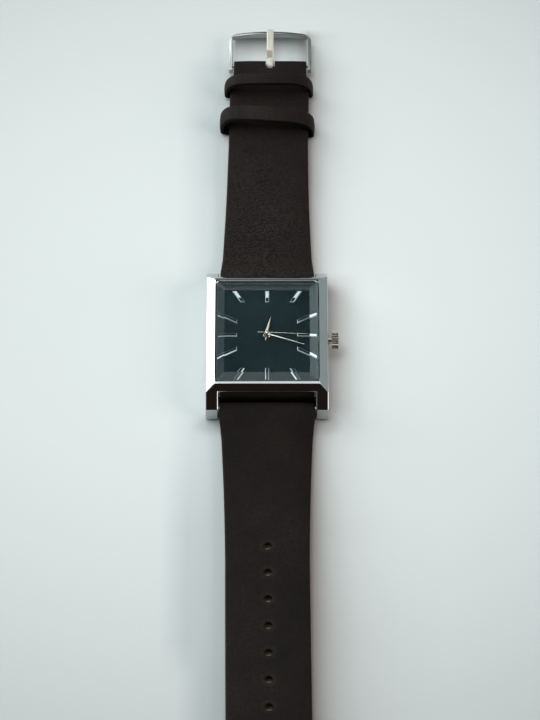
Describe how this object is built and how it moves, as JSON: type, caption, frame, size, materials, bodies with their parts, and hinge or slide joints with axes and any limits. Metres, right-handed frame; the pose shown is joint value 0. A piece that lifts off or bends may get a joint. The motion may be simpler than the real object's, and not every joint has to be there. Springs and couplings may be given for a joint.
{
  "type": "wristwatch",
  "caption": "Rectangular quartz wristwatch with a polished case, slate-blue dial with baton markers, pull-out crown, and a two-piece leather strap with keepers and a tang buckle.",
  "frame": {"origin": "on the underside of the case back, under the middle of the dial; the open strap lies flat on the same plane", "axes": "+X to the crown at three o'clock, +Y to twelve o'clock along the strap, +Z out of the dial"},
  "size_m": [0.0308, 0.2258, 0.0082],
  "materials": {
    "polished_chrome": "mirror-polished chrome plating",
    "crystal_glass": "clear polished mineral glass",
    "seal_rubber": "matt black rubber",
    "satin_steel": "fine brushed steel",
    "dial_lacquer": "satin slate-blue lacquer with a fine radial grain",
    "marker_silver": "polished silver batons",
    "holder_plastic": "off-white moulded plastic",
    "movement_brass": "nickel-washed brass",
    "board_green": "solder-masked board",
    "chip_black": "black resin",
    "can_steel": "plated drawn steel",
    "coil_copper": "enamelled copper wire",
    "magnet_dark": "sintered magnet with a resin pinion",
    "wheel_plastic": "white moulded wheel",
    "gear_brass": "turned brass",
    "hand_silver": "polished hands, slightly warm",
    "crown_steel": "knurled steel, slightly warm",
    "strap_leather": "dark brown fine-grained leather, matt",
    "lining_leather": "brown lining leather",
    "buckle_steel": "polished steel with fine wear"
  },
  "bodies": {
    "case": {"case_body": "polished_chrome", "crystal": "crystal_glass", "crystal_gasket": "seal_rubber", "case_back": "satin_steel", "back_gasket": "seal_rubber", "dial": "dial_lacquer", "hour_markers": "marker_silver", "movement_holder": "holder_plastic", "main_plate": "movement_brass", "train_bridge": "movement_brass", "bridge_screw_1": "satin_steel", "bridge_screw_2": "satin_steel", "bridge_screw_3": "satin_steel", "circuit_board": "board_green", "control_chip": "chip_black", "quartz_can": "can_steel", "battery": "can_steel", "battery_clip": "movement_brass", "coil_core": "satin_steel", "coil_winding": "coil_copper", "stator": "satin_steel", "crown_tube": "satin_steel", "spring_bar_upper": "satin_steel", "spring_bar_lower": "satin_steel"},
    "seconds": {"second_wheel": "gear_brass", "second_hand": "hand_silver"},
    "third": {"third_wheel": "gear_brass"},
    "minutes": {"centre_wheel": "gear_brass", "minute_hand": "hand_silver"},
    "motion": {"minute_wheel": "wheel_plastic"},
    "hours": {"hour_wheel": "gear_brass", "hour_hand": "hand_silver"},
    "intermediate": {"intermediate_wheel": "wheel_plastic"},
    "rotor": {"rotor": "magnet_dark"},
    "setting": {"setting_slide": "satin_steel"},
    "winder": {"crown": "crown_steel", "crown_gasket": "seal_rubber", "stem": "satin_steel"},
    "tip_ul": {"tip_upper_left": "satin_steel"},
    "tip_ur": {"tip_upper_right": "satin_steel"},
    "tip_ll": {"tip_lower_left": "satin_steel"},
    "tip_lr": {"tip_lower_right": "satin_steel"},
    "strap_upper": {"strap_upper_leather": "strap_leather", "strap_upper_lining": "lining_leather", "keeper_fixed": "strap_leather"},
    "strap_lower": {"strap_lower_leather": "strap_leather", "strap_lower_lining": "lining_leather"},
    "loop": {"keeper_free": "strap_leather"},
    "buckle": {"buckle_frame": "buckle_steel", "buckle_bar": "satin_steel"},
    "tongue": {"buckle_tongue": "buckle_steel"}
  },
  "joints": [
    {"name": "second_spin", "type": "hinge", "parent": "case", "child": "seconds", "pos_m": [0, 0, 0.005], "axis": [0, 0, -1], "continuous": true},
    {"name": "third_spin", "type": "hinge", "parent": "case", "child": "third", "pos_m": [-0.00308, -0.00144, 0.0027], "axis": [0, 0, -1], "continuous": true},
    {"name": "minute_spin", "type": "hinge", "parent": "case", "child": "minutes", "pos_m": [0, 0, 0.005], "axis": [0, 0, -1], "continuous": true},
    {"name": "motion_spin", "type": "hinge", "parent": "case", "child": "motion", "pos_m": [-0.0012, 0.00208, 0.0047], "axis": [0, 0, -1], "continuous": true},
    {"name": "hour_spin", "type": "hinge", "parent": "case", "child": "hours", "pos_m": [0, 0, 0.0053], "axis": [0, 0, -1], "continuous": true},
    {"name": "intermediate_spin", "type": "hinge", "parent": "case", "child": "intermediate", "pos_m": [0.00204, -0.00204, 0.0024], "axis": [0, 0, -1], "continuous": true},
    {"name": "rotor_spin", "type": "hinge", "parent": "case", "child": "rotor", "pos_m": [0.0033, -0.00422, 0.003], "axis": [0, 0, -1], "continuous": true},
    {"name": "crown_push", "type": "slide", "parent": "case", "child": "setting", "axis": [-1, 0, 0], "range_m": [0, 0.00075]},
    {"name": "crown_turn", "type": "hinge", "parent": "setting", "child": "winder", "pos_m": [0.0158, 0, 0.0042], "axis": [1, 0, 0], "continuous": true},
    {"name": "strap_upper_hinge", "type": "hinge", "parent": "case", "child": "strap_upper", "pos_m": [0, 0.0188, 0.0025], "axis": [1, 0, 0], "range_deg": [-80, 60]},
    {"name": "strap_lower_hinge", "type": "hinge", "parent": "case", "child": "strap_lower", "pos_m": [0, -0.0188, 0.0025], "axis": [-1, 0, 0], "range_deg": [-80, 60]},
    {"name": "keeper_slide", "type": "slide", "parent": "strap_upper", "child": "loop", "axis": [0, 1, 0], "range_m": [-0.011, 0.007]},
    {"name": "buckle_hinge", "type": "hinge", "parent": "strap_upper", "child": "buckle", "pos_m": [0.0007, 0.0871, 0.00195], "axis": [1, 0, 0], "range_deg": [-40, 30]},
    {"name": "tongue_hinge", "type": "hinge", "parent": "buckle", "child": "tongue", "pos_m": [0.0007, 0.0871, 0.00195], "axis": [1, 0, 0], "range_deg": [0, 70]},
    {"name": "tip_ul_spring", "type": "slide", "parent": "case", "child": "tip_ul", "axis": [1, 0, 0], "range_m": [0, 0.0009], "stiffness_N_per_m": 100},
    {"name": "tip_ur_spring", "type": "slide", "parent": "case", "child": "tip_ur", "axis": [-1, 0, 0], "range_m": [0, 0.0009], "stiffness_N_per_m": 100},
    {"name": "tip_ll_spring", "type": "slide", "parent": "case", "child": "tip_ll", "axis": [1, 0, 0], "range_m": [0, 0.0009], "stiffness_N_per_m": 100},
    {"name": "tip_lr_spring", "type": "slide", "parent": "case", "child": "tip_lr", "axis": [-1, 0, 0], "range_m": [0, 0.0009], "stiffness_N_per_m": 100}
  ],
  "couplings": [
    {"joint": "third_spin", "follows": "second_spin", "ratio": -0.13333},
    {"joint": "minute_spin", "follows": "second_spin", "ratio": 0.016667},
    {"joint": "motion_spin", "follows": "second_spin", "ratio": -0.0055556},
    {"joint": "hour_spin", "follows": "second_spin", "ratio": 0.0013889},
    {"joint": "intermediate_spin", "follows": "second_spin", "ratio": -5},
    {"joint": "rotor_spin", "follows": "second_spin", "ratio": 30}
  ]
}
